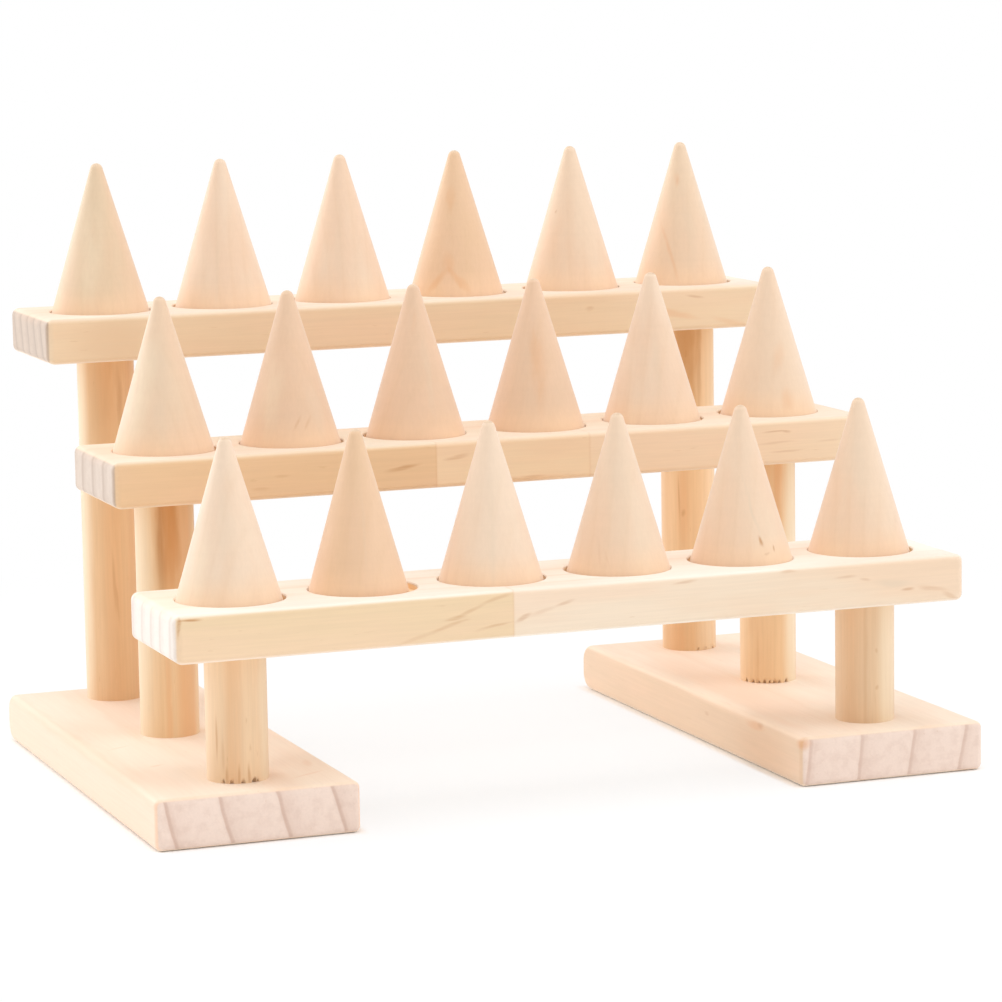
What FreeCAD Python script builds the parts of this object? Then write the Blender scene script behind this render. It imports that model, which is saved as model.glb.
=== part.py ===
"""Three-tier wooden ring display stand.

Three shelf bars rise from front to back. Each carries six turned ring cones that stand in shallow round
recesses. Each bar is screwed down on two dowel posts, and the posts are screwed to two foot boards from below.

Frame: origin on the table under the middle of the stand, +X along the shelf bars to the right, the front
towards -Y, +Z up. All sizes are millimetres.
"""
import FreeCAD
import Part
import math
import os

# Foot boards, which run from front to back under the posts
FOOT_WIDTH = 61.0
FOOT_THICKNESS = 15.0
FOOT_END_MARGIN = 20.5       # from the axis of an end post to the end of the board
FOOT_EDGE_R = 2.0            # sanded edges
FOOT_BACK_R = 5.5            # the back end is rounded over, above and below

# Dowel posts, one pair for each row
POST_D = 18.0
FRONT_POST_LENGTH = 38.5
MIDDLE_POST_LENGTH = 73.0
BACK_POST_LENGTH = 110.0
FRONT_TO_BACK = 134.0        # from the front row's centre line to the back row's
MIDDLE_SETBACK = 3.5         # how far the middle row stands behind the middle of the other two
RIGHT_POSTS_OUT = 0.6        # how far the right posts stand outside the span of the end cones

# Shelf bars
CONES_PER_SHELF = 6
CONE_PITCH = 40.0            # from cone to cone along a bar
SHELF_END_MARGIN = 23.5      # from the centre of an end cone to the end of the bar
SHELF_DEPTH = 47.0
SHELF_THICKNESS = 14.0
SHELF_EDGE_R = 1.5           # sanded long edges
SHELF_END_R = 2.5            # sanded edges round each end

# How far each bar sits to the right on its posts, and how far its row of recesses is drilled off its middle
SHELF_SHIFT = {"front": -0.9, "middle": 1.8, "back": -0.9}
DRILL_SHIFT = {"front": 0.0, "middle": -0.9, "back": 0.0}

# Turned ring cones
CONE_D = 31.0                # across the widest place, just above the foot
CONE_HEIGHT = 48.4
CONE_TIP_R = 2.0
CONE_FOOT_R = 1.2            # softened edge round the foot
SLIM_CONE = "front_cone_2"
SLIM_CONE_LESS = 1.8         # how much less this one measures across

# Recesses that the cones stand in
RECESS_CLEARANCE = 0.5       # from a centred cone to the wall
RECESS_DEPTH = 2.0
RECESS_RIM = 0.3             # broken edge at the mouth

# How far each cone has slid sideways in its recess, as a share of its clearance, from left to right
CONE_SLIDES = {
    "front": (-0.9, -0.9, -0.4, 0.9, 0.9, -0.9),
    "middle": (-0.9, -0.5, 0.9, 0.4, -0.4, 0.9),
    "back": (-0.1, 0.8, 0.9, -0.5, 0.5, -0.6),
}

# Countersunk wood screws, one at each end of each post
SCREW_D = 3.5
SCREW_LENGTH = 30.0
SCREW_HEAD_D = 7.0
SCREW_HEAD_RIM = 0.4         # straight rim of the head, above its cone
SCREW_TIP_LENGTH = 5.0
SCREW_HEAD_SUNK = 0.4        # head below the face of the wood
SCREW_CLEARANCE = 0.1        # all round the screw in its hole
CROSS_SPAN = 4.0             # cross recess in the head
CROSS_WIDTH = 0.9
CROSS_DEPTH = 1.5
CROSS_TAPER = 0.5            # width and span at the bottom, as a share of those at the top

# Places that follow from the sizes above
ROWS = ("front", "middle", "back")
SIDES = ("left", "right")
ROW_Y = {"front": -FRONT_TO_BACK / 2, "middle": MIDDLE_SETBACK, "back": FRONT_TO_BACK / 2}
POST_LENGTH = {"front": FRONT_POST_LENGTH, "middle": MIDDLE_POST_LENGTH, "back": BACK_POST_LENGTH}
CONE_SPREAD = CONE_PITCH * (CONES_PER_SHELF - 1)
POST_X = {"left": -CONE_SPREAD / 2, "right": CONE_SPREAD / 2 + RIGHT_POSTS_OUT}
FOOT_X = {"left": -CONE_SPREAD / 2, "right": CONE_SPREAD / 2}
ROUNDEST = 0.45              # the most of a board's thickness that one rounding takes
RECESS_R = CONE_D / 2 + RECESS_CLEARANCE
SCREW_HEAD_HEIGHT = SCREW_HEAD_RIM + (SCREW_HEAD_D - SCREW_D) / 2


def point(x, z):
    """A point of a turned profile, x from the axis and z along it."""
    return FreeCAD.Vector(x, 0, z)


def turned(edges):
    """Solid of revolution about Z from a closed profile in the XZ plane."""
    face = Part.Face(Part.Wire(edges))
    return face.revolve(FreeCAD.Vector(0, 0, 0), FreeCAD.Vector(0, 0, 1), 360)


def polyline(points):
    """Straight edges of a closed outline."""
    closed = list(points) + [points[0]]
    return [Part.makeLine(start, end) for start, end in zip(closed, closed[1:])]


def moved(shape, x, y, z):
    """Copy of a shape moved by a vector."""
    copy = shape.copy()
    copy.translate(FreeCAD.Vector(x, y, z))
    return copy


def board(length_x, length_y, thickness):
    """Square-edged board centred over the origin."""
    return Part.makeBox(length_x, length_y, thickness, FreeCAD.Vector(-length_x / 2, -length_y / 2, 0))


def along_x(edge):
    """Whether an edge is straight and runs along X."""
    return edge.Curve.TypeId == "Part::GeomLine" and abs(edge.Curve.Direction.x) > 0.99


def sanded(shape, radius, chosen):
    """Shape with the chosen edges sanded round."""
    return shape.makeFillet(radius, [edge for edge in shape.Edges if chosen(edge)])


def shelf_z(row):
    """Height of a shelf bar's underside, which is the top of its posts."""
    return FOOT_THICKNESS + POST_LENGTH[row]


def recess_floor_z(row):
    """Height of the floor that the cones of a row stand on."""
    return shelf_z(row) + SHELF_THICKNESS - RECESS_DEPTH


def recess_x(row, number):
    """Centre of a recess, numbered from 0 at the left end of the row."""
    return SHELF_SHIFT[row] + DRILL_SHIFT[row] - CONE_SPREAD / 2 + number * CONE_PITCH


def post_places():
    """Row, side and axis of each of the six posts."""
    return [(row, side, POST_X[side], ROW_Y[row]) for row in ROWS for side in SIDES]


def screw_blank(grow):
    """Countersunk screw, or its hole when grow is over 0, with its head face at the origin and its tip down."""
    head_r = SCREW_HEAD_D / 2 + grow
    shank_r = SCREW_D / 2 + grow
    return turned(polyline([
        point(0, grow),
        point(head_r, grow),
        point(head_r, -SCREW_HEAD_RIM),
        point(shank_r, -SCREW_HEAD_HEIGHT),
        point(shank_r, SCREW_TIP_LENGTH - SCREW_LENGTH),
        point(0, -SCREW_LENGTH - grow),
    ]))


def cross_recess():
    """Tapered cross that the screwdriver fits, cut down from the head face."""
    arms = []
    for span_x, span_y in ((CROSS_SPAN, CROSS_WIDTH), (CROSS_WIDTH, CROSS_SPAN)):
        outlines = []
        for share, z in ((1.0, 0.0), (CROSS_TAPER, -CROSS_DEPTH)):
            half_x = share * span_x / 2
            half_y = share * span_y / 2
            corners = [FreeCAD.Vector(half_x * a, half_y * b, z) for a, b in ((-1, -1), (1, -1), (1, 1), (-1, 1))]
            outlines.append(Part.makePolygon(corners + [corners[0]]))
        arms.append(Part.makeLoft(outlines, True, True))
    return arms[0].fuse(arms[1])


def screw():
    """Countersunk wood screw with its head face at the origin and its tip down."""
    return screw_blank(0).cut(cross_recess())


def screw_hole():
    """Space of a screw, with the well above its sunk head."""
    well_r = SCREW_HEAD_D / 2 + SCREW_CLEARANCE
    well = Part.makeCylinder(well_r, SCREW_HEAD_SUNK + RECESS_DEPTH)
    return screw_blank(SCREW_CLEARANCE).fuse(well)


def driven_down(shape, row, x, y):
    """A screw or its hole, driven through the floor of an end recess into the top of a post."""
    return moved(shape, x, y, recess_floor_z(row) - SCREW_HEAD_SUNK)


def driven_up(shape, x, y):
    """A screw or its hole, driven from under a foot board into the bottom of a post."""
    copy = shape.copy()
    copy.rotate(FreeCAD.Vector(0, 0, 0), FreeCAD.Vector(1, 0, 0), 180)
    return moved(copy, x, y, SCREW_HEAD_SUNK)


def shelf(row):
    """Shelf bar with a recess for each cone and screw holes over its posts."""
    bar = board(CONE_SPREAD + 2 * SHELF_END_MARGIN, SHELF_DEPTH, SHELF_THICKNESS)
    bar = sanded(bar, SHELF_END_R, lambda edge: not along_x(edge))
    bar = sanded(bar, SHELF_EDGE_R, along_x)
    bar = moved(bar, SHELF_SHIFT[row], ROW_Y[row], shelf_z(row))
    recess = turned(polyline([
        point(0, 0),
        point(RECESS_R, 0),
        point(RECESS_R, RECESS_DEPTH - RECESS_RIM),
        point(RECESS_R + RECESS_RIM, RECESS_DEPTH),
        point(RECESS_R + RECESS_RIM, 2 * RECESS_DEPTH),
        point(0, 2 * RECESS_DEPTH),
    ]))
    cuts = []
    for number in range(CONES_PER_SHELF):
        cuts.append(moved(recess, recess_x(row, number), ROW_Y[row], recess_floor_z(row)))
    for post_row, _, x, y in post_places():
        if post_row == row:
            cuts.append(driven_down(screw_hole(), row, x, y))
    return bar.cut(cuts)


def foot(side):
    """Foot board, rounded over at its back end, with a countersunk hole under each post."""
    def at_back(edge):
        return along_x(edge) and edge.CenterOfMass.y > 0

    plank = board(FOOT_WIDTH, FRONT_TO_BACK + 2 * FOOT_END_MARGIN, FOOT_THICKNESS)
    plank = sanded(plank, min(FOOT_BACK_R, ROUNDEST * FOOT_THICKNESS), at_back)
    plank = sanded(plank, FOOT_EDGE_R, lambda edge: not at_back(edge))
    plank = moved(plank, FOOT_X[side], 0, 0)
    return plank.cut([driven_up(screw_hole(), POST_X[side], ROW_Y[row]) for row in ROWS])


def post(row, x, y):
    """Dowel post, sawn square, with a pilot hole in each end."""
    dowel = Part.makeCylinder(POST_D / 2, POST_LENGTH[row], FreeCAD.Vector(x, y, FOOT_THICKNESS))
    return dowel.cut([driven_down(screw_hole(), row, x, y), driven_up(screw_hole(), x, y)])


def cone_blank(width):
    """Turned cone: flat foot, softened foot edge, straight flank and round tip, each tangent to the next."""
    foot_x = width / 2 - CONE_FOOT_R
    rise = CONE_HEIGHT - CONE_TIP_R - CONE_FOOT_R
    flank = math.acos((CONE_TIP_R - CONE_FOOT_R) / math.hypot(foot_x, rise)) - math.atan2(rise, foot_x)

    def foot_arc(angle):
        return point(foot_x + CONE_FOOT_R * math.cos(angle), CONE_FOOT_R + CONE_FOOT_R * math.sin(angle))

    def tip_arc(angle):
        return point(CONE_TIP_R * math.cos(angle), CONE_HEIGHT - CONE_TIP_R + CONE_TIP_R * math.sin(angle))

    down = -math.pi / 2
    up = math.pi / 2
    return turned([
        Part.makeLine(point(0, 0), foot_arc(down)),
        Part.Arc(foot_arc(down), foot_arc((down + flank) / 2), foot_arc(flank)).toShape(),
        Part.makeLine(foot_arc(flank), tip_arc(flank)),
        Part.Arc(tip_arc(flank), tip_arc((flank + up) / 2), tip_arc(up)).toShape(),
        Part.makeLine(tip_arc(up), point(0, 0)),
    ])


def cone(row, number):
    """Name and solid of one ring cone where it stands in its recess."""
    name = f"{row}_cone_{number + 1}"
    width = CONE_D
    if name == SLIM_CONE:
        width -= SLIM_CONE_LESS
    slides = CONE_SLIDES[row]
    slide = slides[number % len(slides)] * (RECESS_R - width / 2)
    return name, moved(cone_blank(width), recess_x(row, number) + slide, ROW_Y[row], recess_floor_z(row))


def all_pieces():
    """Every piece of the stand by name, in the order of assembly."""
    pieces = {f"{side}_foot": foot(side) for side in SIDES}
    for row, side, x, y in post_places():
        pieces[f"{row}_{side}_post"] = post(row, x, y)
    for row in ROWS:
        pieces[f"{row}_shelf"] = shelf(row)
    pieces["foot_screws"] = Part.makeCompound([driven_up(screw(), x, y) for _, _, x, y in post_places()])
    pieces["shelf_screws"] = Part.makeCompound([driven_down(screw(), row, x, y) for row, _, x, y in post_places()])
    for row in ROWS:
        for number in range(CONES_PER_SHELF):
            name, solid = cone(row, number)
            pieces[name] = solid
    return pieces


def main():
    os.makedirs("parts", exist_ok=True)
    for name, shape in all_pieces().items():
        shape.exportStep(f"parts/{name}.step")


main()
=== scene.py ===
"""Looks of the three-tier wooden ring display stand: unfinished pine bars, feet and dowels, turned cones."""
import math

import bpy
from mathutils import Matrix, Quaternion, Vector


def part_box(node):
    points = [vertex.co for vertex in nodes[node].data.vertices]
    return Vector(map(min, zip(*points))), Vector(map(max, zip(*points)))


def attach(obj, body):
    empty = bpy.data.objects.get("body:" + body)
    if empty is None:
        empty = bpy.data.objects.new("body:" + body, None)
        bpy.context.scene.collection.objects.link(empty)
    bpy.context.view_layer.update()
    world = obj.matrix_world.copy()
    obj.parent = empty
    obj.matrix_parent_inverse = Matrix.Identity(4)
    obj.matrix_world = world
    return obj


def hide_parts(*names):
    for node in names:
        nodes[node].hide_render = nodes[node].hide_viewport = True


MM = 0.001
ROWS = ("front", "middle", "back")
SIDES = ("left", "right")

# The camera stands to the left of the stand and a little above it, far off with a long lens
CAMERA_AZIMUTH = math.radians(-20.74)
CAMERA_ELEVATION = math.radians(8.26)
CAMERA_ROLL = math.radians(-0.93)
CAMERA_DISTANCE = 1.190
CAMERA_AIM = Vector((0.0044, -0.0091, 0.0810))
CAMERA_LENS_MM = 138.2
CAMERA_CLIP = (0.05, 50.0)
SENSOR_MM = 36.0

# Square softboxes, each with its place and width in metres, its power in watts and its colour
SOFTBOX_AIM = Vector((0.0, 0.0, 0.08))
SOFTBOXES = {
    "softbox_left": (Vector((-0.95, 1.05, 0.5)), 1.2, 11.0, "#FFFFFF"),
    "softbox_right": (Vector((1.4, -0.6, 0.5)), 1.3, 5.0, "#FFFFFF"),
    "softbox_top": (Vector((0.0, -0.3, 1.4)), 1.1, 7.8, "#F6FBFF"),
}
ROOM_LIGHT = 0.78               # of the white room on the stand

FLOOR_SIZE = 12.0
FLOOR_GAP = 0.05 * MM           # below the feet, so that it shares no plane with their undersides
FLOOR_NEAR = 0.12               # from the middle of the stand, where the faint shadow starts to fade
FLOOR_FAR = 0.40                # and where it ends
FLOOR_WHITE = (0.75, 1.0)       # plain white mixed over the shadow as the camera sees it, near and far
CONTACT_REACH = 3.0 * MM        # round each foot, where the whole shadow shows
CONTACT_BLUR = 2.5 * MM

AXES = {"X": (1.0, 0.0, 0.0), "Y": (0.0, 1.0, 0.0), "Z": (0.0, 0.0, 1.0)}
# Turns each grain direction onto Z, so that the growth rings run round Z
GRAIN_TURN = {
    "X": (0.0, math.radians(-90), 0.0),
    "Y": (math.radians(90), 0.0, 0.0),
    "Z": (0.0, 0.0, 0.0),
}

# Strength of the late wood through one growth ring: broad along the grain, thin lines on some end grain
BROAD_LATE = ((0.0, 0.05), (0.3, 0.0), (0.65, 0.4), (0.82, 1.0), (1.0, 0.05))
THIN_LATE = ((0.0, 0.1), (0.04, 0.0), (0.5, 0.05), (0.8, 0.2), (0.89, 0.4), (0.945, 0.95), (0.965, 1.0),
             (1.0, 0.1))

# Noises in the wood: the size of their features in mm across and along the grain, their detail and roughness.
# Drift and waver bend the growth rings, patches hide some of them and carry the blush, and ripple shakes the
# marks
NOISES = {
    "drift": (70.0, 140.0, 1.0, 0.5),
    "waver": (9.0, 60.0, 2.0, 0.5),
    "patches": (16.0, 70.0, 3.0, 0.5),
    "ripple": (3.0, 16.0, 2.0, 0.5),
    "fibres": (0.8, 26.0, 5.0, 0.65),
    "flecks": (0.9, 7.0, 2.0, 0.5),
}
WAVER_SHARE = 0.3               # of how far the rings wander, in small waves on top of the slow drift
FIBRE_RANGE = (0.3, 0.7)        # of the noise, from a dark fibre or hoop to the clear wood between them

# Ranges of a noise, from where something starts to show to where it shows in full
RINGS_SHOW = (0.35, 0.62)
RINGS_LEAST = 0.25
BLUSH_SHOWS = (0.4, 0.65)
BLOTCHES_SHOW = (0.42, 0.68)
FLECKS_SHOW = (0.70, 0.78)
STAINS_SHOW = (0.35, 0.6)

# How squarely a face looks along an axis, from where it starts to count as level or as end grain to where it
# counts in full
LEVEL_FACE = (0.3, 0.9)
END_FACE = (0.62, 0.86)

# Noise without a grain, per mm: blotches of the end grain, and hoops left by the lathe
BLOTCH_SCALE = 0.3
BLOTCH_ROUGHNESS = 0.6
HOOP_SCALE = (0.05, 0.05, 0.8)
FINE_DETAIL = 3.0

# What all the wood shares
WOOD_ROUGHNESS = (0.72, 0.60)   # in a dark fibre and between fibres
SHEEN_WEIGHT = 0.4
SHEEN_ROUGHNESS = 0.5
BUMP_STRENGTH = 0.3
BUMP_MM = 0.05
RING_RELIEF = 0.2               # of the growth rings, where fibres and turning marks have 1
FLECK_COLOUR = "#C79A68"
FOOT_BOUNCE_FADE_MM = (2.0, 12.0)      # above a cone's foot, where its painted bounce light starts to fade and where it ends

# Glue joints of the bars. Each further length comes from another place in the tree
NEXT_LENGTH_MM = (410.0, 23.0, 9.0)
SEAM_REACH_MM = 0.6
SEAM_BLUR_MM = 0.5
SEAM_COLOUR = "#D9A978"
SEAM_STRENGTH = 0.18

# Painted warm bounce light on the walls and floors of the bars' recesses, where light goes from wood to wood
RECESS_BOUNCE_COLOUR = "#FFDCA8"
RECESS_BOUNCE_STRENGTH = 0.85
RECESS_INSET_MM = 3.0           # from the bar's sides, which stay without it
RECESS_BLUR_MM = 0.5
RECESS_BELOW_FLOOR_MM = (0.5, 0.2)    # where it starts from below, and where it is whole
RECESS_BELOW_TOP_MM = (0.8, 0.3)      # where it starts to fade, and where it ends

# Stains in the figure of the wood, with how far its fibres break each: resin and mineral streaks, redder
# heartwood, painted shade in a dark amber tint where posts lie under a bar or beside other posts, paler
# sapwood, nearly white wood, dull grey grain, which on the middles of the cones is painted shade, and torn
# splinters
STAINS = {
    "streak": ("#BF8752", 0.4),
    "heart": ("#E09F64", 0.15),
    "amber": ("#C4863F", 0.15),
    "sap": ("#F3DFC0", 0.1),
    "pale": ("#FFFBF0", 0.0),
    "grey": ("#DCC6AC", 0.1),
    "torn": ("#85582C", 0.0),
}
RIPPLE_RANGE = (0.25, 0.75)     # of the noise that shakes the marks
RIPPLE_MM = 0.6                 # and how far it shakes them
MARK_CORE = 0.8                 # of the way from a mark's edge to its centre, where it shows in full
FRONT_MARK_DEPTH = 3.0          # half sizes of marks in mm, into the wood
TOP_MARK_DEPTH = 4.0
ROUND_MARK_DEPTH = 2.0
TOP_MARK_REACH = 28.0           # and across a bar's top

# A look of wood, with lengths in mm
PINE = dict(
    # The grain's direction, the pith's place across it, and how far along the tree the piece was cut
    grain="X", pith=(0.0, 120.0), along=0.0,
    # Width of a year's ring, how far into a ring the pith lies, and how far the rings wander
    ring=9.0, phase=0.0, wander=5.0,
    # Pale and dark wood of a ring on faces along the grain, and warmer patches
    early="#F6E0C2", late="#E2B98C", ring_long=0.22, blush="#F6D0B2", blush_amount=0.35,
    # Tints of the early wood: paler on level faces, painted top light, and warmer near a cone's foot, painted
    # bounce light
    face="#FFFFFF", face_amount=0.0, foot="#FFFFFF", foot_bounce_amount=0.0, foot_z=0.0,
    # Pale and dark wood of a ring on end grain, which is mottled too
    end_early="#F2DED0", end_late="#C9A794", ring_end=0.9, thin_end_rings=False, mottle=0.25,
    # Strengths of dark fibres, resin flecks and turning marks
    fibre=0.04, fleck=0.2, lathe=0.0,
    # Glue joints, listed marks, and the recesses of a bar
    # The recesses of a bar get painted warm bounce light on their walls and floors
    joins=(), marks=(), recessed=None,
)

# Turned wood of the cones, warmer near their feet: painted bounce light from the bars
TURNED = dict(
    grain="Z", ring=4.5, wander=6.0, late="#D9B389", blush="#EBC4A4", blush_amount=0.45, ring_long=0.11,
    # Darker end grain at the tips: partly the wood's own, partly painted shade against the top light
    fibre=0.025, fleck=0.0, lathe=0.012, end_early="#E2C5A6", end_late="#D3B08C", ring_end=0.4,
    foot="#FBD0A6", foot_bounce_amount=0.5,
)

ZINC_SCALE = 900.0              # of the noise in the screws' zinc, per metre
ZINC_ROUGHNESS = (0.28, 0.42)

# Bites out of a post's lower rim
WELD = 0.002 * MM               # joins the corners that the faces of the CAD's mesh share
CUT_ABOVE_RIM = 2.0 * MM        # an edge round the post here keeps the shading of the rest clean
SPLINTER_SHAPE = (1.1, 1.0, 1.8)
SMOOTH_BELOW = math.radians(35)

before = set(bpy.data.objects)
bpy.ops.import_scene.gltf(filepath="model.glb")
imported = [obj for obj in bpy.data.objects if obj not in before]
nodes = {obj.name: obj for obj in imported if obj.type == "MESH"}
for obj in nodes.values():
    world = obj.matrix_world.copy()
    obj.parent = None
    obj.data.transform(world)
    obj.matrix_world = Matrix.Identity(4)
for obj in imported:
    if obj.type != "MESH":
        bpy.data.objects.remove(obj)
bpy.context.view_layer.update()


def hex_colour(text):
    """Linear RGBA of an sRGB colour written as #RRGGBB."""
    channels = [int(text[i:i + 2], 16) / 255 for i in (1, 3, 5)]
    linear = [c / 12.92 if c <= 0.04045 else ((c + 0.055) / 1.055) ** 2.4 for c in channels]
    return (*linear, 1.0)


def add(tree, kind, inputs=None, **settings):
    """Adds a node with its settings. Inputs are given by name or number, as values or as sockets to link."""
    node = tree.nodes.new(kind)
    for name, value in settings.items():
        setattr(node, name, value)
    for name, value in (inputs or {}).items():
        if isinstance(value, bpy.types.NodeSocket):
            tree.links.new(value, node.inputs[name])
        else:
            node.inputs[name].default_value = value
    return node


def maths(tree, operation, *values, **settings):
    """Result of one maths node on values or sockets."""
    return add(tree, "ShaderNodeMath", dict(enumerate(values)), operation=operation, **settings).outputs[0]


def summed(tree, terms):
    """Sum of terms, each a socket and its weight."""
    total = 0.0
    for socket, weight in terms:
        total = maths(tree, "MULTIPLY_ADD", socket, weight, total)
    return total


def fade(tree, socket, start, end, low, high, interpolation="SMOOTHSTEP"):
    """Goes from one value to another while the socket goes from start to end, and stays there beyond them."""
    return add(tree, "ShaderNodeMapRange", {"Value": socket, 1: start, 2: end, 3: low, 4: high},
               interpolation_type=interpolation).outputs[0]


def stretched(tree, place, scale):
    """Coordinates times a scale along each axis."""
    return add(tree, "ShaderNodeMapping", {"Vector": place, "Scale": scale}).outputs["Vector"]


def noise(tree, place, detail, roughness=0.5, scale=1.0):
    """Noise from 0 to 1."""
    return add(tree, "ShaderNodeTexNoise", {
        "Vector": place, "Scale": scale, "Detail": detail, "Roughness": roughness}).outputs["Fac"]


def ramp(tree, factor, stops):
    """Colour ramp through stops of a place and a colour."""
    node = add(tree, "ShaderNodeValToRGB", {"Fac": factor})
    node.color_ramp.interpolation = "EASE"
    elements = node.color_ramp.elements
    while len(elements) < len(stops):
        elements.new(1.0)
    for element, (place, colour) in zip(elements, stops):
        element.position = place
        element.color = colour
    return node.outputs["Color"]


def grey_ramp(tree, factor, stops):
    """Ramp of linear greys through stops of a place and a value."""
    return ramp(tree, factor, [(place, (value, value, value, 1.0)) for place, value in stops])


def blend_colours(tree, factor, first, second, mode="MIX"):
    """Mix of two colours, each given as a value or a socket."""
    node = add(tree, "ShaderNodeMix", {"Factor": factor}, data_type="RGBA", blend_type=mode)
    for socket, value in ((node.inputs[6], first), (node.inputs[7], second)):
        if isinstance(value, bpy.types.NodeSocket):
            tree.links.new(value, socket)
        else:
            socket.default_value = value
    return node.outputs[2]


def tinted(tree, colour, strength, tint):
    """A colour mixed with a tint written as #RRGGBB."""
    return blend_colours(tree, strength, colour, hex_colour(tint))


def facing(tree, normal, axis):
    """1 where a face looks along an axis, either way, and 0 where it lies along it."""
    dot = add(tree, "ShaderNodeVectorMath", {0: normal, 1: AXES[axis]}, operation="DOT_PRODUCT")
    return maths(tree, "ABSOLUTE", dot.outputs["Value"])


def within(tree, coordinate, centre, reach, blur):
    """1 where a coordinate is within reach of a centre, falling to 0 over the last of it."""
    off = maths(tree, "ABSOLUTE", maths(tree, "SUBTRACT", coordinate, centre))
    return fade(tree, off, reach - blur, reach, 1.0, 0.0)


def within_outline(tree, axes, low, high, beyond, blur):
    """1 inside a box's outline from above, widened by beyond all round, falling to 0 over the last of it."""
    middle, half = (low + high) / 2, (high - low) / 2
    return maths(tree, "MULTIPLY", within(tree, axes["X"], middle.x, half.x + beyond, blur),
                 within(tree, axes["Y"], middle.y, half.y + beyond, blur))


def in_recesses(tree, place, low, high, floor_z):
    """Mask of the walls and floors of a bar's recesses, which get painted bounce light: between its top and
    their floor, inside its sides.
    """
    axes = add(tree, "ShaderNodeSeparateXYZ", {0: place}).outputs
    floor_start, floor_end = (floor_z - below for below in RECESS_BELOW_FLOOR_MM)
    top_start, top_end = (high.z - below for below in RECESS_BELOW_TOP_MM)
    deep = fade(tree, axes["Z"], floor_start, floor_end, 0.0, 1.0)
    sunk = fade(tree, axes["Z"], top_start, top_end, 1.0, 0.0)
    inside = within_outline(tree, axes, low, high, -RECESS_INSET_MM, RECESS_BLUR_MM)
    return maths(tree, "MULTIPLY", maths(tree, "MULTIPLY", deep, sunk), inside)


def jointed(tree, place, early, joins):
    """Lengths of wood glued end to end along X. Each join is its x in mm and the early wood beyond it. Gives
    the place in the tree that each length was cut from, the early wood, and a mask of each joint."""
    cut_from, seams = place, []
    x = add(tree, "ShaderNodeSeparateXYZ", {0: place}).outputs["X"]
    for join, early_beyond in joins:
        beyond = maths(tree, "GREATER_THAN", x, join)
        step = add(tree, "ShaderNodeVectorMath", {0: NEXT_LENGTH_MM, "Scale": beyond}, operation="SCALE")
        moved = add(tree, "ShaderNodeVectorMath", {0: cut_from, 1: step.outputs[0]}, operation="ADD")
        cut_from = moved.outputs[0]
        early = tinted(tree, early, beyond, early_beyond)
        seam = within(tree, x, join, SEAM_REACH_MM, SEAM_BLUR_MM)
        seams.append(maths(tree, "MULTIPLY", seam, SEAM_STRENGTH))
    return cut_from, early, seams


def grain_noise(tree, in_tree, name):
    """One of the noises that are drawn out along the grain."""
    across, along, detail, roughness = NOISES[name]
    return noise(tree, stretched(tree, in_tree, (1 / across, 1 / across, 1 / along)), detail, roughness)


def late_wood(tree, in_tree, look):
    """Strength of the late wood in growth rings round the pith, broad and thin."""
    wander = look["wander"]
    section = add(tree, "ShaderNodeVectorMath", {0: in_tree, 1: (1.0, 1.0, 0.0)}, operation="MULTIPLY")
    radius = add(tree, "ShaderNodeVectorMath", {0: section.outputs[0]}, operation="LENGTH").outputs["Value"]
    radius = summed(tree, [(radius, 1.0), (grain_noise(tree, in_tree, "drift"), 2 * wander),
                           (grain_noise(tree, in_tree, "waver"), WAVER_SHARE * wander)])
    turn = maths(tree, "FRACT", maths(tree, "MULTIPLY_ADD", radius, 1 / look["ring"], look["phase"]))
    return grey_ramp(tree, turn, BROAD_LATE), grey_ramp(tree, turn, THIN_LATE)


def long_grain(tree, look, early, place, normal, patches, rings):
    """Colour of the faces along the grain, with painted top light on level faces and painted bounce light
    near a cone's foot.
    """
    # Paler level faces: painted top light
    level = fade(tree, facing(tree, normal, "Z"), *LEVEL_FACE, 0.0, look["face_amount"])
    colour = tinted(tree, early, level, look["face"])
    # Warmer near a cone's foot: painted bounce light from the bar
    if look["foot_bounce_amount"]:
        height = add(tree, "ShaderNodeSeparateXYZ", {0: place}).outputs["Z"]
        start, end = (look["foot_z"] + above for above in FOOT_BOUNCE_FADE_MM)
        colour = tinted(tree, colour, fade(tree, height, start, end, look["foot_bounce_amount"], 0.0), look["foot"])
    colour = tinted(tree, colour, fade(tree, patches, *BLUSH_SHOWS, 0.0, look["blush_amount"]), look["blush"])
    return tinted(tree, colour, maths(tree, "MULTIPLY", rings, look["ring_long"]), look["late"])


def end_grain(tree, look, place, late):
    """Colour of the faces across the grain."""
    blotches = noise(tree, place, FINE_DETAIL, BLOTCH_ROUGHNESS, BLOTCH_SCALE)
    blotches = fade(tree, blotches, *BLOTCHES_SHOW, 0.0, look["mottle"])
    colour = tinted(tree, hex_colour(look["end_early"]), blotches, look["end_late"])
    return tinted(tree, colour, maths(tree, "MULTIPLY", late, look["ring_end"]), look["end_late"])


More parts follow.
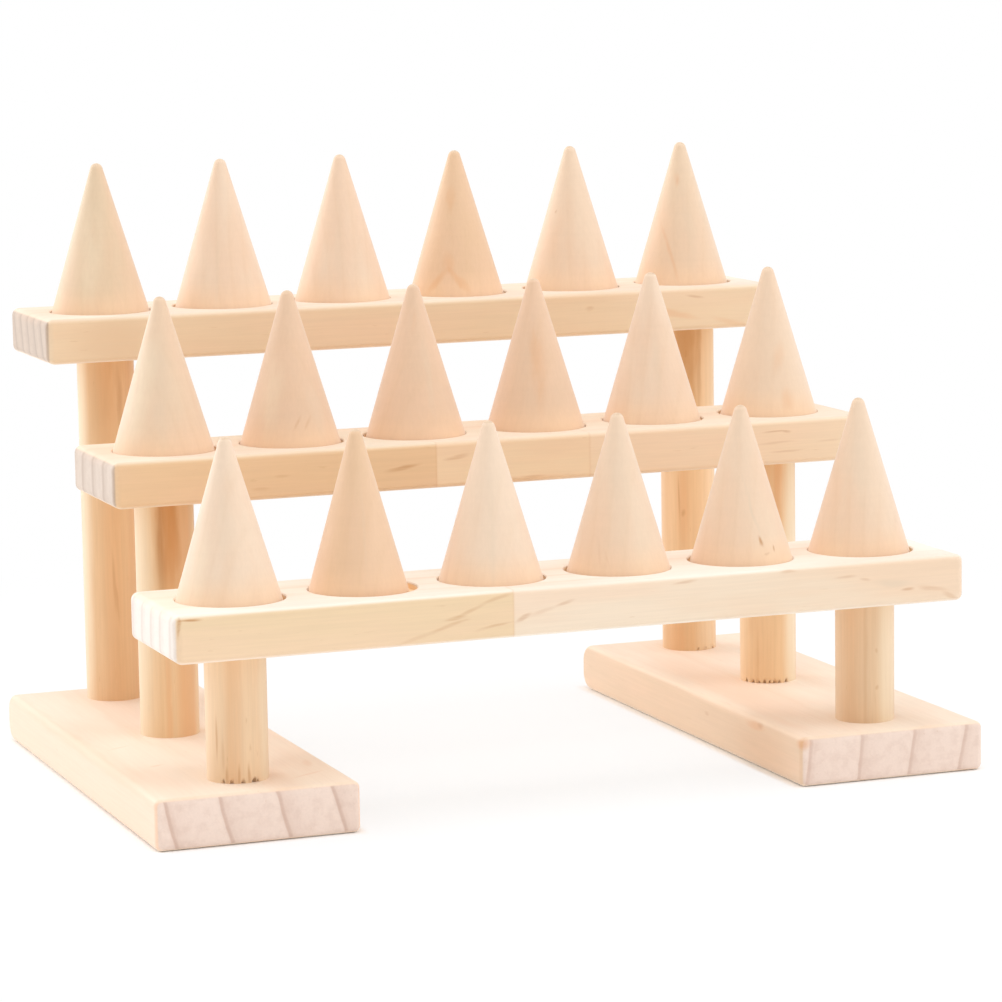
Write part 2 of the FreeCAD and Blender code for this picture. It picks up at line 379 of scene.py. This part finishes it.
def figure(tree, place, ripple, fibres, marks):
    """Stains in the figure of one piece: the colour of each, with the socket of its strength. A mark is a
    blurred spot that ripples with the grain, given by its stain, centre and half sizes in mm, how it is
    turned in degrees, and how strong it is."""
    shift = fade(tree, ripple, *RIPPLE_RANGE, -RIPPLE_MM, RIPPLE_MM, "LINEAR")
    shaken = add(tree, "ShaderNodeVectorMath", {0: place, 1: shift}, operation="ADD").outputs[0]
    for stain in sorted({mark[0] for mark in marks}):
        stain_colour, broken_by = STAINS[stain]
        broken = fade(tree, fibres, *STAINS_SHOW, 1.0 - broken_by, 1.0)
        masks = []
        for _, centre, half_sizes, turn, strength in (mark for mark in marks if mark[0] == stain):
            spot = add(tree, "ShaderNodeMapping", {
                "Vector": shaken, "Location": centre, "Rotation": tuple(math.radians(a) for a in turn),
                "Scale": half_sizes}, vector_type="TEXTURE").outputs["Vector"]
            glow = add(tree, "ShaderNodeTexGradient", {0: spot}, gradient_type="SPHERICAL").outputs["Fac"]
            masks.append((fade(tree, glow, 0.0, MARK_CORE, 0.0, 1.0), strength))
        yield stain_colour, maths(tree, "MULTIPLY", summed(tree, masks), broken, use_clamp=True)


def wood(name, **changes):
    """Unfinished planed or turned wood. Growth rings run round a pith line along the grain, so that each face
    shows them as its cut would, with fibres, warmer patches and resin flecks drawn out along the grain."""
    look = PINE | changes
    material = bpy.data.materials.new(name)
    material.use_nodes = True
    tree = material.node_tree
    shader = tree.nodes["Principled BSDF"]
    coordinates = add(tree, "ShaderNodeTexCoord").outputs
    place = stretched(tree, coordinates["Object"], (1 / MM, 1 / MM, 1 / MM))
    cut_from, early, seams = jointed(tree, place, hex_colour(look["early"]), look["joins"])
    in_tree = add(tree, "ShaderNodeMapping", {
        "Vector": cut_from,
        "Location": (-look["pith"][0], -look["pith"][1], look["along"]),
        "Rotation": GRAIN_TURN[look["grain"]],
    }).outputs["Vector"]

    patches, ripple, fibres, flecks = (
        grain_noise(tree, in_tree, kind) for kind in ("patches", "ripple", "fibres", "flecks"))
    broad_late, thin_late = late_wood(tree, in_tree, look)
    rings = maths(tree, "MULTIPLY", broad_late, fade(tree, patches, *RINGS_SHOW, RINGS_LEAST, 1.0))

    across = fade(tree, facing(tree, coordinates["Normal"], look["grain"]), *END_FACE, 0.0, 1.0)
    colour = blend_colours(
        tree, across, long_grain(tree, look, early, place, coordinates["Normal"], patches, rings),
        end_grain(tree, look, place, thin_late if look["thin_end_rings"] else broad_late))
    dark_fibres = grey_ramp(tree, fibres, list(zip(FIBRE_RANGE, (1.0 - look["fibre"], 1.0))))
    colour = blend_colours(tree, 1.0, colour, dark_fibres, "MULTIPLY")
    colour = tinted(tree, colour, fade(tree, flecks, *FLECKS_SHOW, 0.0, look["fleck"]), FLECK_COLOUR)
    for stain_colour, strength in figure(tree, place, ripple, fibres, look["marks"]):
        colour = tinted(tree, colour, strength, stain_colour)
    for seam in seams:
        colour = tinted(tree, colour, seam, SEAM_COLOUR)
    # Painted warm bounce light on the walls and floors of a bar's recesses
    if look["recessed"]:
        cut = maths(tree, "MULTIPLY", in_recesses(tree, place, *look["recessed"]), RECESS_BOUNCE_STRENGTH)
        colour = tinted(tree, colour, cut, RECESS_BOUNCE_COLOUR)

    relief = [(rings, RING_RELIEF), (fibres, 1.0)]
    if look["lathe"]:
        hoops = noise(tree, stretched(tree, place, HOOP_SCALE), FINE_DETAIL)
        shade = grey_ramp(tree, hoops, list(zip(FIBRE_RANGE, (1.0 - look["lathe"], 1.0))))
        colour = blend_colours(tree, 1.0, colour, shade, "MULTIPLY")
        relief.append((hoops, 1.0))
    tree.links.new(colour, shader.inputs["Base Color"])

    shader.inputs["Sheen Weight"].default_value = SHEEN_WEIGHT
    shader.inputs["Sheen Roughness"].default_value = SHEEN_ROUGHNESS
    roughness = fade(tree, fibres, *FIBRE_RANGE, *WOOD_ROUGHNESS, "LINEAR")
    tree.links.new(roughness, shader.inputs["Roughness"])
    bump = add(tree, "ShaderNodeBump", {
        "Height": summed(tree, relief), "Strength": BUMP_STRENGTH, "Distance": BUMP_MM * MM})
    tree.links.new(bump.outputs["Normal"], shader.inputs["Normal"])
    return material


def zinc():
    """Zinc-plated steel of wood screws: pale grey and a little rough."""
    material = bpy.data.materials.new("zinc_plated_steel")
    material.use_nodes = True
    tree = material.node_tree
    shader = tree.nodes["Principled BSDF"]
    shader.inputs["Metallic"].default_value = 1.0
    place = add(tree, "ShaderNodeTexCoord").outputs["Object"]
    grain = noise(tree, place, FINE_DETAIL, scale=ZINC_SCALE)
    colour = ramp(tree, grain, [(0.3, hex_colour("#A9ABA8")), (0.7, hex_colour("#C9CAC6"))])
    tree.links.new(colour, shader.inputs["Base Color"])
    roughness = fade(tree, grain, 0.0, 1.0, *ZINC_ROUGHNESS, "LINEAR")
    tree.links.new(roughness, shader.inputs["Roughness"])
    return material


def dress(node_name, material):
    """Gives a CAD node's object one material all over."""
    slots = nodes[node_name].data.materials
    slots.clear()
    slots.append(material)


def front_marks(node_name, marks):
    """Marks on the front face of a bar, each a stain, x, z, half length, half height, tilt up to the right in
    degrees, and strength."""
    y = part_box(node_name)[0].y / MM
    return [(stain, (x, y, z), (half_length, FRONT_MARK_DEPTH, half_height), (0.0, -tilt, 0.0), strength)
            for stain, x, z, half_length, half_height, tilt, strength in marks]


def top_marks(node_name, marks):
    """Broad tints of a bar's top, each a stain, x, half length and strength."""
    low, high = (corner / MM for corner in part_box(node_name))
    y = (low.y + high.y) / 2
    return [(stain, (x, y, high.z), (half_length, TOP_MARK_REACH, TOP_MARK_DEPTH), (0.0, 0.0, 0.0), strength)
            for stain, x, half_length, strength in marks]


def round_marks(node_name, marks, taper=0.0):
    """Marks round a post, or round a cone with a taper of 1. Each is a stain, an angle about Z from +X in
    degrees, a height above the piece's foot, half width, half height, lean in degrees, and strength."""
    low, high = (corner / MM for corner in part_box(node_name))
    middle = (low + high) / 2
    slope = math.degrees(math.atan2(taper * (high.x - low.x) / 2, high.z - low.z))
    placed = []
    for stain, angle, height, half_width, half_height, lean, strength in marks:
        radius = (high.x - low.x) / 2 * (1 - taper * height / (high.z - low.z))
        x = middle.x + radius * math.cos(math.radians(angle))
        y = middle.y + radius * math.sin(math.radians(angle))
        placed.append((stain, (x, y, low.z + height), (ROUND_MARK_DEPTH, half_width, half_height),
                       (lean, -slope, angle), strength))
    return placed


def recesses(row):
    """The corners of a row's bar and the height of its recesses' floors."""
    low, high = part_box(f"{row}_shelf")
    return low / MM, high / MM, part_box(f"{row}_cone_1")[0].z / MM


def dress_bars():
    """Planed bars, two of them glued from shorter lengths."""
    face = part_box("front_shelf")[0] / MM
    # A dark edge where the front bar's left end meets its front face
    corner = [
        ("streak", (face.x + 4.5, face.y, 66.0), (4.5, 1.2, 0.6), (0.0, 0.0, 0.0), 0.8),
        ("streak", (face.x + 1.4, face.y, 64.2), (0.8, 1.8, 4.2), (0.0, 0.0, 0.0), 0.6),
    ]
    # The face tint on each bar makes its top paler: painted top light
    dress("front_shelf", wood(
        "front_shelf_jointed_pine", pith=(-60.0, -190.0), ring=10.1, phase=0.05, early="#ECCFA8",
        joins=((-23.0, "#F1DCC3"),), face="#FAF1E2", face_amount=0.92,
        end_early="#EEE1D6", end_late="#D8C8BB", mottle=0.2, recessed=recesses("front"),
        marks=corner + front_marks("front_shelf", [
            ("streak", -52.0, 56.0, 9.0, 0.8, 14, 0.2),
            ("streak", -42.5, 58.6, 8.0, 0.9, 16, 0.35),
            ("streak", -41.0, 60.6, 5.0, 0.8, 8, 0.4),
            ("streak", -36.0, 62.6, 6.5, 0.8, 20, 0.3),
            ("streak", -28.0, 65.4, 7.0, 0.8, 12, 0.3),
            ("streak", -29.0, 57.3, 7.5, 0.6, 7, 0.35),
            ("streak", -20.3, 59.0, 3.2, 1.0, 22, 0.45),
            ("streak", -14.0, 60.5, 7.0, 1.0, 16, 0.2),
            ("streak", -7.0, 62.6, 4.0, 0.8, 12, 0.35),
            ("streak", 31.0, 66.0, 5.0, 0.8, 3, 0.35),
            ("streak", 64.0, 66.2, 4.0, 0.7, 3, 0.4),
            ("streak", 83.0, 63.6, 5.0, 0.8, 2, 0.3),
            ("streak", 89.0, 62.0, 2.6, 0.9, -10, 0.25),
            ("grey", 99.0, 60.6, 9.0, 1.6, -3, 0.5),
            ("streak", 103.5, 58.4, 3.0, 0.8, 2, 0.45),
            ("streak", 112.0, 58.0, 7.0, 1.0, -9, 0.3),
            ("streak", 117.5, 55.2, 4.0, 1.2, -28, 0.3),
        ]) + top_marks("front_shelf", [("sap", -120.0, 20.0, 0.45), ("pale", 122.0, 20.0, 0.6)])))
    dress("middle_shelf", wood(
        "middle_shelf_jointed_pine", pith=(-90.0, -150.0), along=700.0, ring=10.8, phase=0.12,
        early="#EBC79D", joins=((-20.4, "#F4D8B4"), (29.9, "#F2D6B5")), face="#F0DFC6", face_amount=0.75,
        end_early="#CDB7A4", end_late="#B0947D", recessed=recesses("middle"),
        marks=front_marks("middle_shelf", [
            ("streak", -69.4, 95.2, 3.5, 0.8, 3, 0.3),
            ("streak", -76.7, 91.2, 4.0, 0.8, 0, 0.25),
            ("streak", -31.0, 95.3, 7.0, 0.9, 7, 0.6),
            ("streak", -14.0, 97.2, 5.5, 0.8, 5, 0.35),
            ("streak", 11.0, 89.6, 5.0, 0.7, 2, 0.3),
            ("streak", 93.0, 98.4, 6.5, 0.5, 0, 0.4),
            ("streak", 96.5, 98.0, 2.2, 0.7, 0, 0.3),
            ("streak", 93.0, 95.0, 9.0, 0.5, 2, 0.25),
            ("streak", 97.0, 92.3, 8.0, 0.6, 3, 0.3),
            ("streak", 111.5, 94.8, 5.5, 0.6, 4, 0.22),
            ("heart", 0.0, 88.6, 30.0, 1.6, 2, 0.25),
        ]) + top_marks("middle_shelf", [("heart", -122.0, 20.0, 0.12)])))
    dress("back_shelf", wood(
        "back_shelf_pine", pith=(-80.0, 260.0), along=1500.0, ring=8.5, phase=0.75, early="#ECD0AD",
        face="#F1DEC6", face_amount=0.8, end_early="#C1A892", end_late="#A58971", recessed=recesses("back"),
        marks=front_marks("back_shelf", [
            ("streak", 56.0, 133.7, 2.0, 0.9, 0, 0.3),
            ("streak", 93.5, 136.0, 4.0, 0.8, -14, 0.35),
            ("heart", 86.0, 131.0, 12.0, 1.8, -16, 0.5),
            ("heart", 106.0, 127.2, 9.0, 1.4, -14, 0.3),
            ("streak", -104.0, 131.0, 18.0, 12.0, 0, 0.15),
            ("sap", 90.0, 131.0, 50.0, 12.0, 0, 0.35),
        ]) + top_marks("back_shelf", [("heart", -122.0, 22.0, 0.18), ("pale", 112.0, 22.0, 0.3)])))


def dress_feet():
    """Foot boards, with redder heartwood in their tops and a knot in the side of the right one."""
    # The face tint makes the feet's tops paler: painted top light
    shared = dict(grain="Y", wander=3.0, late="#E9BE96", blush="#F8D2B4", blush_amount=0.4, face="#FBE6CF",
                  face_amount=1.0, end_early="#F1DACB", end_late="#C39C88", thin_end_rings=True, mottle=0.16)
    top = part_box("left_foot")[1].z / MM
    # On the top of the left foot
    wisps = [
        ("heart", (-120.8, -12.5, top), (1.0, 6.0, 2.0), (0.0, 0.0, -60.0), 0.2),
        ("heart", (-117.6, -42.0, top), (1.2, 4.0, 2.0), (0.0, 0.0, -60.0), 0.3),
        ("heart", (-80.0, -71.5, top), (1.0, 9.0, 2.0), (0.0, 0.0, -60.0), 0.25),
        ("heart", (-75.8, -57.0, top), (2.0, 7.0, 2.0), (0.0, 0.0, -10.0), 0.25),
        ("heart", (-98.0, 50.0, top), (16.0, 40.0, 4.0), (0.0, 0.0, 0.0), 0.2),
        # Warm tint along the lit top edge of the left side: painted shade that dulls its highlight
        ("heart", (-130.5, -5.0, top), (4.0, 150.0, 4.0), (0.0, 0.0, 0.0), 0.25),
    ]
    dress("left_foot", wood(
        "left_foot_pine", early="#F7D2B6", pith=(93.0, -61.0), ring=15.85, phase=0.48, ring_long=0.14,
        ring_end=0.62, marks=wisps, **shared))
    # On the side of the right foot towards the left one, and on its top
    knot = [
        ("streak", (69.5, -57.9, 13.7), (2.0, 3.0, 1.3), (0.0, 0.0, 0.0), 0.4),
        ("heart", (69.5, -54.0, 13.0), (2.0, 9.0, 2.0), (0.0, 0.0, 0.0), 0.4),
        ("streak", (69.5, -17.8, 9.8), (2.0, 2.2, 1.0), (0.0, 0.0, 0.0), 0.3),
        ("heart", (70.0, -87.5, 13.5), (3.5, 5.0, 3.0), (0.0, -14.0, 0.0), 0.6),
        ("heart", (69.5, -60.0, 7.0), (2.0, 30.0, 9.0), (0.0, 0.0, 0.0), 0.15),
        ("heart", (82.0, 2.0, top), (14.0, 75.0, 4.0), (0.0, 0.0, 0.0), 0.2),
    ]
    dress("right_foot", wood(
        "right_foot_pine", early="#E6C8A9", pith=(290.0, 26.0), along=400.0, ring=17.0, phase=0.76,
        ring_long=0.22, ring_end=0.5, marks=knot, **shared))


# Splinters broken from the lower rims of posts, each an angle about Z from +X in degrees and a width in mm
CHIPS = {
    "front_left_post": [(-134, 1.0), (-118, 1.3), (-97, 1.2), (-76, 1.5), (-68, 0.9)],
    "middle_right_post": [(-164, 1.1), (-147, 1.2), (-133, 0.9), (-122, 1.2), (-111, 1.1), (-101, 1.4),
                          (-91, 0.9), (-75, 1.2)],
    "back_right_post": [(-95, 0.7), (-78, 0.6), (-52, 0.9)],
}


def dress_posts():
    """Sawn dowels, each from its own place in the tree."""
    shared = dict(grain="Z", wander=4.0, ring=11.0, ring_long=0.22, late="#DDAD76", blush="#F6CFA4",
                  fibre=0.06, fleck=0.3)
    # Marks in the dark amber tint are painted shade, at the tops of posts under a bar and on sides other
    # posts shade
    posts = {
        "front_left_post": dict(early="#F0CEA7", marks=[
            ("streak", -147, 13.0, 0.6, 9.0, 0, 0.5),
            ("streak", -134, 8.0, 0.7, 8.0, 0, 0.3),
            ("heart", -112, 20.0, 4.0, 60.0, 0, 0.25),
            ("streak", -127, 2.0, 0.7, 4.0, 0, 0.5),
            ("streak", -104, 2.0, 0.7, 5.0, 0, 0.45),
            ("streak", -84, 2.5, 0.8, 5.0, 0, 0.5),
            ("sap", -45, 20.0, 3.5, 60.0, 0, 0.5),
        ]),
        "middle_left_post": dict(early="#EDCBA0", marks=[
            ("sap", -162, 45.0, 7.0, 120.0, 0, 0.45),
            ("streak", -113, 60.0, 2.2, 26.0, 0, 0.6),
            ("amber", -101, 72.0, 8.0, 46.0, 0, 0.85),
            ("heart", -98, 58.0, 3.5, 30.0, 0, 0.4),
            ("heart", -106, 10.0, 1.4, 40.0, 0, 0.3),
            ("heart", -66, 20.0, 6.0, 120.0, 0, 0.45),
        ]),
        "back_left_post": dict(early="#E9C092", marks=[
            ("sap", -170, 60.0, 6.0, 160.0, 0, 0.6),
            ("heart", -104, 60.0, 5.0, 120.0, 0, 0.2),
            ("amber", -125, 108.0, 10.0, 44.0, 0, 0.25),
            ("streak", -100, 38.0, 0.9, 14.0, 2, 0.35),
            ("streak", -94, 30.0, 0.6, 8.0, 4, 0.25),
            ("streak", -78, 96.0, 1.5, 14.0, 3, 0.4),
            ("heart", -52, 60.0, 3.0, 120.0, 0, 0.2),
        ]),
        "front_right_post": dict(early="#E6C5A0", marks=[
            ("heart", -150, 20.0, 5.0, 60.0, 0, 0.15),
            ("heart", -130, 20.0, 6.0, 80.0, 0, 0.1),
            ("streak", -114, 20.0, 1.0, 60.0, 0, 0.2),
            ("sap", -62, 20.0, 10.0, 80.0, 0, 0.6),
            ("streak", -95, 22.0, 0.8, 1.2, 0, 0.3),
            ("streak", -92, 11.0, 0.8, 1.0, 0, 0.3),
        ]),
        "middle_right_post": dict(early="#F0CB9E", ring_long=0.15, marks=[
            ("streak", -136, 8.0, 0.7, 14.0, 0, 0.2),
            # Painted shade, in the heartwood tint, down the upper left of this post
            ("heart", -150, 50.0, 4.0, 40.0, 0, 0.5),
            ("heart", -92, 60.0, 2.0, 30.0, 0, 0.4),
            ("sap", -55, 35.0, 6.0, 120.0, 0, 0.9),
        ]),
        "back_right_post": dict(early="#EEC89B", marks=[
            ("heart", -145, 5.0, 8.0, 14.0, 0, 0.3),
            ("amber", -174, 4.0, 4.0, 14.0, 0, 0.3),
            ("sap", -76, 4.0, 6.0, 16.0, 0, 0.35),
            ("amber", -112, 108.0, 11.0, 44.0, 0, 0.6),
            ("amber", -178, 55.0, 6.0, 60.0, 0, 0.3),
            ("heart", -124, 50.0, 3.0, 24.0, 0, 0.3),
            ("streak", -124, 47.0, 1.0, 1.8, 0, 0.45),
            ("streak", -133, 52.0, 0.5, 12.0, 2, 0.4),
            ("streak", -85, 90.0, 1.0, 20.0, 0, 0.4),
        ]),
    }
    for number, (node_name, look) in enumerate(posts.items()):
        torn = [("torn", angle, 0.4, 0.5 * width, 0.9 * width, 0, 0.6)
                for angle, width in CHIPS.get(node_name, [])]
        marks = round_marks(node_name, look["marks"] + torn)
        dress(node_name, wood(f"{node_name}_dowel_pine", **(shared | look | dict(
            marks=marks, pith=(30.0 + 12 * number, -90.0), along=300.0 * number))))


# Tones of the turned wood, from the palest cone to the darkest
CONE_TONES = {"pale": "#ECD2B8", "cream": "#EACEB2", "warm": "#E6CAAC", "honey": "#DFC4A3",
              "rosy": "#E3C1A2", "tan": "#E4BF9A"}
CONES = {
    "front": ("pale", "tan", "pale", "cream", "cream", "cream"),
    "middle": ("warm", "rosy", "rosy", "rosy", "pale", "cream"),
    "back": ("honey", "pale", "pale", "tan", "cream", "warm"),
}
# Grey marks at -103 to -115 degrees run down the middle of a cone towards the camera: painted shade
CONE_MARKS = {
    "front_cone_1": [("grey", -106, 26.0, 3.5, 26.0, 0, 0.3), ("sap", -150, 12.0, 5.0, 20.0, 0, 0.35)],
    "front_cone_2": [("streak", -112, 22.0, 6.0, 30.0, 0, 0.1), ("grey", -96, 22.0, 0.8, 20.0, 0, 0.15)],
    "front_cone_3": [("grey", -108, 18.0, 1.8, 26.0, 0, 0.35)],
    "front_cone_4": [
        ("grey", -110, 28.0, 4.0, 30.0, 0, 0.3),
        ("streak", -138, 9.0, 0.6, 6.0, 10, 0.12),
        ("streak", -127, 6.5, 0.6, 5.0, 18, 0.1),
    ],
    "front_cone_5": [
        ("streak", -89, 8.7, 0.9, 2.4, 20, 0.9),
        ("streak", -71, 6.3, 0.6, 1.7, -8, 0.7),
        ("streak", -84, 4.6, 1.2, 0.7, 0, 0.4),
        ("grey", -96, 18.0, 0.8, 16.0, 12, 0.4),
    ],
    "front_cone_6": [("grey", -108, 30.0, 3.5, 26.0, 0, 0.25)],
    "middle_cone_1": [("sap", -150, 20.0, 6.0, 30.0, 0, 0.4), ("grey", -106, 24.0, 4.0, 28.0, 0, 0.3)],
    "middle_cone_2": [
        ("sap", -139, 17.0, 5.0, 18.0, 0, 0.3),
        ("streak", -97, 9.3, 0.7, 4.0, -30, 0.25),
        ("streak", -83, 9.1, 0.7, 3.5, -30, 0.22),
        ("grey", -66, 14.0, 4.0, 14.0, 0, 0.35),
    ],
    "middle_cone_3": [("heart", -112, 37.5, 1.8, 9.0, 0, 0.3), ("grey", -84, 22.0, 2.0, 20.0, 0, 0.3)],
    "middle_cone_4": [("heart", -104, 24.0, 3.5, 22.0, 0, 0.3)],
    "middle_cone_5": [("grey", -103, 24.0, 2.5, 24.0, 0, 0.3)],
    "middle_cone_6": [("heart", -96, 20.0, 3.0, 8.0, -15, 0.25), ("heart", -88, 7.0, 3.0, 6.0, 0, 0.25)],
    "back_cone_1": [("sap", -120, 20.0, 5.0, 24.0, 0, 0.35)],
    "back_cone_2": [("grey", -115, 17.0, 1.2, 18.0, 0, 0.25)],
    "back_cone_3": [("grey", -112, 20.0, 2.0, 22.0, 0, 0.25)],
    "back_cone_4": [
        ("heart", -125, 33.0, 2.6, 7.0, 0, 0.4),
        ("heart", -122, 12.0, 3.0, 6.0, 0, 0.3),
        ("heart", -136, 7.0, 1.8, 7.0, -40, 0.35),
        ("heart", -106, 7.0, 1.8, 7.0, 40, 0.35),
    ],
    "back_cone_5": [("streak", -150, 27.2, 0.8, 1.0, 0, 0.6)],
    "back_cone_6": [
        ("heart", -127, 36.1, 1.6, 3.6, 0, 0.6),
        ("heart", -132, 13.0, 1.1, 13.0, 22, 0.35),
        ("grey", -95, 20.0, 3.0, 22.0, 0, 0.35),
    ],
}


def dress_cones():
    """Each cone in its own tone, from its own place in the tree."""
    cones = [(f"{row}_cone_{place}", tone) for row in ROWS for place, tone in enumerate(CONES[row], start=1)]
    for number, (node_name, tone) in enumerate(cones):
        dress(node_name, wood(
            f"{node_name}_turned_wood", pith=(-160.0 + 17 * number, 40.0), along=210.0 * number,
            early=CONE_TONES[tone], foot_z=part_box(node_name)[0].z / MM,
            marks=round_marks(node_name, CONE_MARKS.get(node_name, []), taper=1.0), **TURNED))


def chip_rim(node_name, chips):
    """Replaces a post by a copy with splinters broken from its lower rim."""
    low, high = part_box(node_name)
    middle = (low + high) / 2
    radius = (high.x - low.x) / 2
    post = nodes[node_name].copy()
    post.data = nodes[node_name].data.copy()
    post.name = f"{node_name}_chipped"
    bpy.context.scene.collection.objects.link(post)
    bpy.ops.object.select_all(action="DESELECT")
    post.select_set(True)
    bpy.context.view_layer.objects.active = post
    bpy.ops.object.mode_set(mode="EDIT")
    bpy.ops.mesh.select_all(action="SELECT")
    bpy.ops.mesh.remove_doubles(threshold=WELD)
    bpy.ops.mesh.bisect(plane_co=(middle.x, middle.y, low.z + CUT_ABOVE_RIM), plane_no=AXES["Z"])
    bpy.ops.object.mode_set(mode="OBJECT")
    for angle, width in chips:
        turn = math.radians(angle)
        place = Vector((middle.x + radius * math.cos(turn), middle.y + radius * math.sin(turn), low.z))
        bpy.ops.mesh.primitive_ico_sphere_add(subdivisions=2, radius=width / 2 * MM, location=place)
        splinter = bpy.context.active_object
        splinter.rotation_euler = (0.0, 0.0, turn)
        splinter.scale = SPLINTER_SHAPE
        bpy.context.view_layer.objects.active = post
        cut = post.modifiers.new("splinter", "BOOLEAN")
        cut.object = splinter
        cut.operation = "DIFFERENCE"
        bpy.ops.object.modifier_apply(modifier=cut.name)
        bpy.data.objects.remove(splinter, do_unlink=True)
    bpy.ops.object.select_all(action="DESELECT")
    post.select_set(True)
    bpy.ops.object.shade_smooth_by_angle(angle=SMOOTH_BELOW)
    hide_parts(node_name)
    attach(post, "root")


def chip_posts():
    """The posts whose lower rims are splintered."""
    for node_name, chips in CHIPS.items():
        chip_rim(node_name, chips)


def make_floor():
    """White floor that fades into the white background. It keeps a faint shadow of the stand, and the whole
    shadow right at the feet."""
    bpy.ops.mesh.primitive_plane_add(size=FLOOR_SIZE, location=(0, 0, -FLOOR_GAP))
    floor = bpy.context.active_object
    floor.name = "floor"
    material = bpy.data.materials.new("white_studio_floor")
    material.use_nodes = True
    tree = material.node_tree
    shader = tree.nodes["Principled BSDF"]
    shader.inputs["Base Color"].default_value = hex_colour("#FCFCFC")
    shader.inputs["Roughness"].default_value = 0.9
    shader.inputs["Specular IOR Level"].default_value = 0.1
    output = tree.nodes["Material Output"]
    white = add(tree, "ShaderNodeEmission", {"Color": hex_colour("#FFFFFF"), "Strength": 1.0})
    place = add(tree, "ShaderNodeTexCoord").outputs["Object"]
    away = add(tree, "ShaderNodeVectorMath", {0: place}, operation="LENGTH").outputs["Value"]
    seen = add(tree, "ShaderNodeLightPath").outputs["Is Camera Ray"]
    seen = maths(tree, "MULTIPLY", seen, fade(tree, away, FLOOR_NEAR, FLOOR_FAR, *FLOOR_WHITE))
    axes = add(tree, "ShaderNodeSeparateXYZ", {0: place}).outputs
    for side in SIDES:
        low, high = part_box(f"{side}_foot")
        touching = within_outline(tree, axes, low, high, CONTACT_REACH, CONTACT_BLUR)
        seen = maths(tree, "MULTIPLY", seen, maths(tree, "SUBTRACT", 1.0, touching))
    mix = add(tree, "ShaderNodeMixShader", {0: seen, 1: shader.outputs["BSDF"], 2: white.outputs["Emission"]})
    tree.links.new(mix.outputs["Shader"], output.inputs["Surface"])
    floor.data.materials.append(material)


def make_world():
    """White room: plain light on the stand, and white where the camera or a reflection sees it."""
    world = bpy.data.worlds.new("studio")
    bpy.context.scene.world = world
    world.use_nodes = True
    tree = world.node_tree
    output = tree.nodes["World Output"]
    dim = tree.nodes["Background"]
    dim.inputs["Color"].default_value = hex_colour("#FFFFFF")
    dim.inputs["Strength"].default_value = ROOM_LIGHT
    white = add(tree, "ShaderNodeBackground", {"Color": hex_colour("#FFFFFF"), "Strength": 1.0})
    ray = add(tree, "ShaderNodeLightPath").outputs
    seen = maths(tree, "MAXIMUM", ray["Is Camera Ray"], ray["Is Glossy Ray"])
    seen = maths(tree, "MAXIMUM", seen, ray["Is Transmission Ray"])
    mix = add(tree, "ShaderNodeMixShader", {
        0: seen, 1: dim.outputs["Background"], 2: white.outputs["Background"]})
    tree.links.new(mix.outputs["Shader"], output.inputs["Surface"])


def make_lights():
    """Softboxes that face the stand."""
    for name, (place, width, watts, colour) in SOFTBOXES.items():
        data = bpy.data.lights.new(name, "AREA")
        data.shape = "SQUARE"
        data.size = width
        data.energy = watts
        data.color = hex_colour(colour)[:3]
        lamp = bpy.data.objects.new(name, data)
        bpy.context.scene.collection.objects.link(lamp)
        lamp.location = place
        lamp.rotation_mode = "QUATERNION"
        lamp.rotation_quaternion = (SOFTBOX_AIM - place).to_track_quat("-Z", "Y")


def make_camera():
    """The photo's view."""
    data = bpy.data.cameras.new("camera")
    data.lens = CAMERA_LENS_MM
    data.sensor_width = SENSOR_MM
    data.clip_start, data.clip_end = CAMERA_CLIP
    camera = bpy.data.objects.new("camera", data)
    bpy.context.scene.collection.objects.link(camera)
    flat = math.cos(CAMERA_ELEVATION)
    back = Vector((math.sin(CAMERA_AZIMUTH) * flat, -math.cos(CAMERA_AZIMUTH) * flat,
                   math.sin(CAMERA_ELEVATION)))
    camera.location = CAMERA_AIM + back * CAMERA_DISTANCE
    camera.rotation_mode = "QUATERNION"
    camera.rotation_quaternion = (-back).to_track_quat("-Z", "Y") @ Quaternion(AXES["Z"], CAMERA_ROLL)
    bpy.context.scene.camera = camera


bpy.context.scene.view_settings.view_transform = "Standard"
make_camera()
dress_bars()
dress_feet()
dress_posts()
dress_cones()
chip_posts()
steel = zinc()
dress("foot_screws", steel)
dress("shelf_screws", steel)
make_floor()
make_world()
make_lights()
